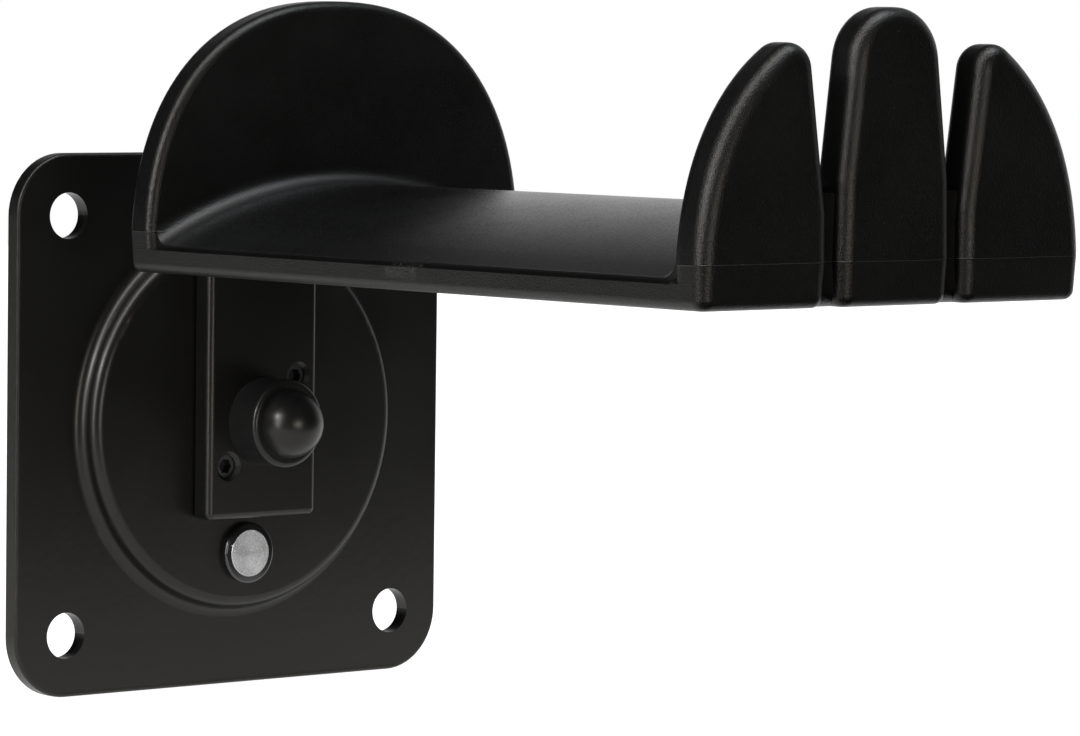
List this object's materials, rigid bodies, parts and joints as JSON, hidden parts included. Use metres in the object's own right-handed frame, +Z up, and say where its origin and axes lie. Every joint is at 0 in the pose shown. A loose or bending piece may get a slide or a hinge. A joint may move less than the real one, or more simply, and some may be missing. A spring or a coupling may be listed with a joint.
{
  "type": "wall headphone hanger",
  "caption": "Square wall plate with a flat steel arm that carries a long arched saddle between a round rear disc and a front lip cut into fingers by cable slots.",
  "frame": {"origin": "centre of the wall plate on the wall plane, which is also the centre of its bolt pattern", "axes": "+Z up, the arm reaches out from the wall along -Y, X runs along the wall"},
  "size_m": [0.1, 0.179, 0.1284],
  "materials": {
    "powder_coat": "satin black powder coat over steel",
    "moulded_plastic": "fine-grained black moulding with a soft sheen",
    "cap_plastic": "smooth glossy black push-on cap",
    "badge_plastic": "glossy black disc",
    "badge_metal": "plain spun silver disc, no mark",
    "black_steel": "blackened set screws",
    "zinc_steel": "bright zinc-plated fasteners"
  },
  "bodies": {
    "root": {"wall_plate": "powder_coat", "arm_bar": "powder_coat", "saddle": "moulded_plastic", "nut_cap": "cap_plastic", "badge_base": "badge_plastic", "badge_face": "badge_metal", "locating_screws": "black_steel", "centre_bolt": "zinc_steel", "lock_washer": "zinc_steel", "hex_nut": "zinc_steel", "saddle_screws": "zinc_steel", "saddle_washers": "zinc_steel"}
  },
  "joints": []
}
